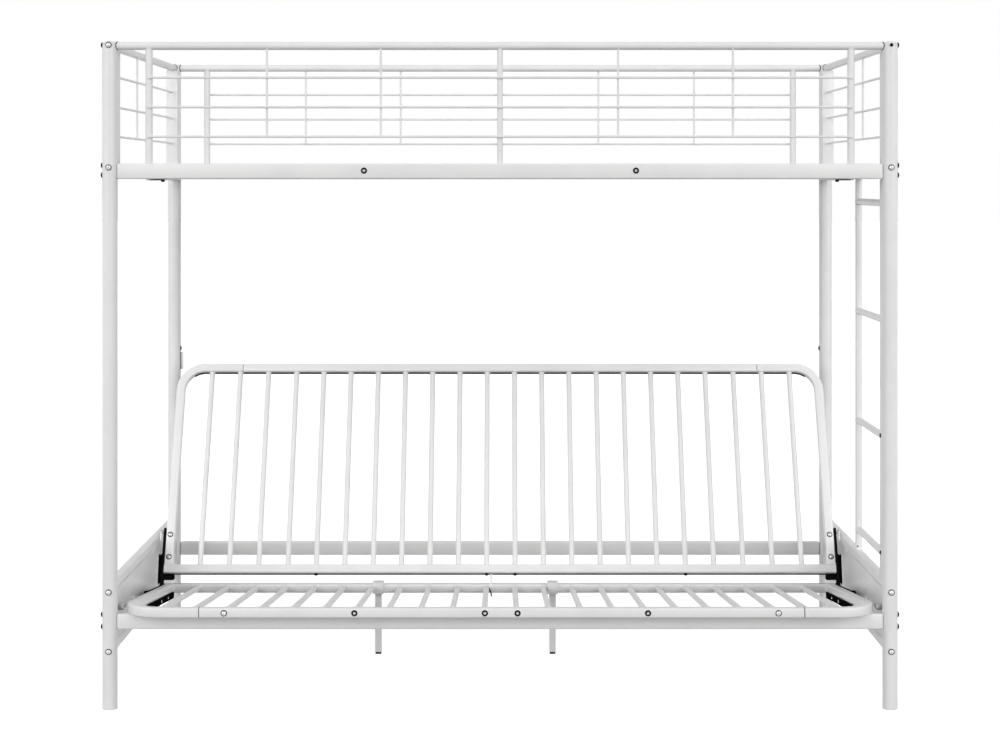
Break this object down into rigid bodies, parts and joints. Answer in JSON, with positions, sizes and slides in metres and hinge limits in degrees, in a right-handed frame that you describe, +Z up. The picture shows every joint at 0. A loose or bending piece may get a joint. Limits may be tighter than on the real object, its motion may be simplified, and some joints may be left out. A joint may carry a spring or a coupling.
{
  "type": "futon bunk bed",
  "caption": "Metal bunk bed on round posts with a guarded slat deck and an end ladder, over a slatted futon whose seat slides out as its back folds flat",
  "frame": {"origin": "on the floor under the middle of the whole bed", "axes": "+X runs along the bed, the front faces -Y, +Z is up"},
  "size_m": [1.9906, 1.1106, 1.6625],
  "materials": {
    "white_paint": "satin white powder coat",
    "black_steel": "black coated steel",
    "zinc": "zinc plated",
    "black_plastic": "matt black"
  },
  "bodies": {
    "bunk_frame": {"post_front_left": "white_paint", "post_front_right": "white_paint", "post_rear_left": "white_paint", "post_rear_right": "white_paint", "post_cap_front_left": "white_paint", "post_cap_front_right": "white_paint", "post_cap_rear_left": "white_paint", "post_cap_rear_right": "white_paint", "upper_side_rail_front": "white_paint", "upper_side_rail_rear": "white_paint", "upper_end_rail_left": "white_paint", "upper_end_rail_right": "white_paint", "guard_front": "white_paint", "guard_rear": "white_paint", "guard_end_left": "white_paint", "guard_end_right": "white_paint", "slat_deck": "white_paint", "deck_bracket_left": "white_paint", "deck_bracket_right": "white_paint", "end_panel_left": "white_paint", "end_panel_right": "white_paint", "lower_rail_front": "white_paint", "lower_rail_rear": "white_paint", "ladder_front_upright": "white_paint", "ladder_rear_upright": "white_paint", "ladder_rung_1": "white_paint", "ladder_rung_2": "white_paint", "ladder_rung_3": "white_paint", "ladder_rung_4": "white_paint", "slide_track_left": "white_paint", "slide_track_right": "white_paint", "bolt_post_left": "black_steel", "bolt_post_right": "black_steel", "bolt_post_rear": "black_steel"},
    "carriage": {"slide_bar_left": "black_steel", "slide_bar_right": "black_steel"},
    "seat": {"seat_front_tube": "white_paint", "seat_side_tube_left": "white_paint", "seat_side_tube_right": "white_paint", "seat_slat_grid": "white_paint", "mid_leg_left": "white_paint", "mid_leg_right": "white_paint", "mid_leg_foot_left": "black_plastic", "mid_leg_foot_right": "black_plastic", "seat_arm_left": "black_steel", "seat_arm_right": "black_steel", "seat_inner_plate_left": "black_steel", "seat_inner_plate_right": "black_steel", "fold_pin_left": "zinc", "fold_pin_right": "zinc", "bolt_seat_front": "zinc"},
    "back": {"back_top_tube": "white_paint", "back_side_tube_left": "white_paint", "back_side_tube_right": "white_paint", "back_slat_grid": "white_paint", "back_arm_left": "black_steel", "back_arm_right": "black_steel"},
    "stay_links": {"stay_link_left": "zinc", "stay_link_right": "zinc"}
  },
  "joints": [
    {"name": "seat_slide", "type": "slide", "parent": "bunk_frame", "child": "carriage", "axis": [0, -0.9816, 0.1908], "range_m": [0, 0.3]},
    {"name": "seat_level", "type": "hinge", "parent": "carriage", "child": "seat", "pos_m": [0, -0.1135, 0.20898], "axis": [1, 0, 0], "range_deg": [0, 5.98]},
    {"name": "back_fold", "type": "hinge", "parent": "seat", "child": "back", "pos_m": [0, 0.10215, 0.18298], "axis": [-1, 0, 0], "range_deg": [0, 70.09]},
    {"name": "stay_swing", "type": "hinge", "parent": "bunk_frame", "child": "stay_links", "pos_m": [0, 0.1221, 0.132], "axis": [1, 0, 0], "range_deg": [0, 63.82]}
  ],
  "couplings": [
    {"joint": "seat_slide", "follows": "back_fold", "m_per_rad": 0.24522},
    {"joint": "seat_level", "follows": "back_fold", "ratio": 0.0852},
    {"joint": "stay_swing", "follows": "back_fold", "ratio": 0.9103}
  ]
}
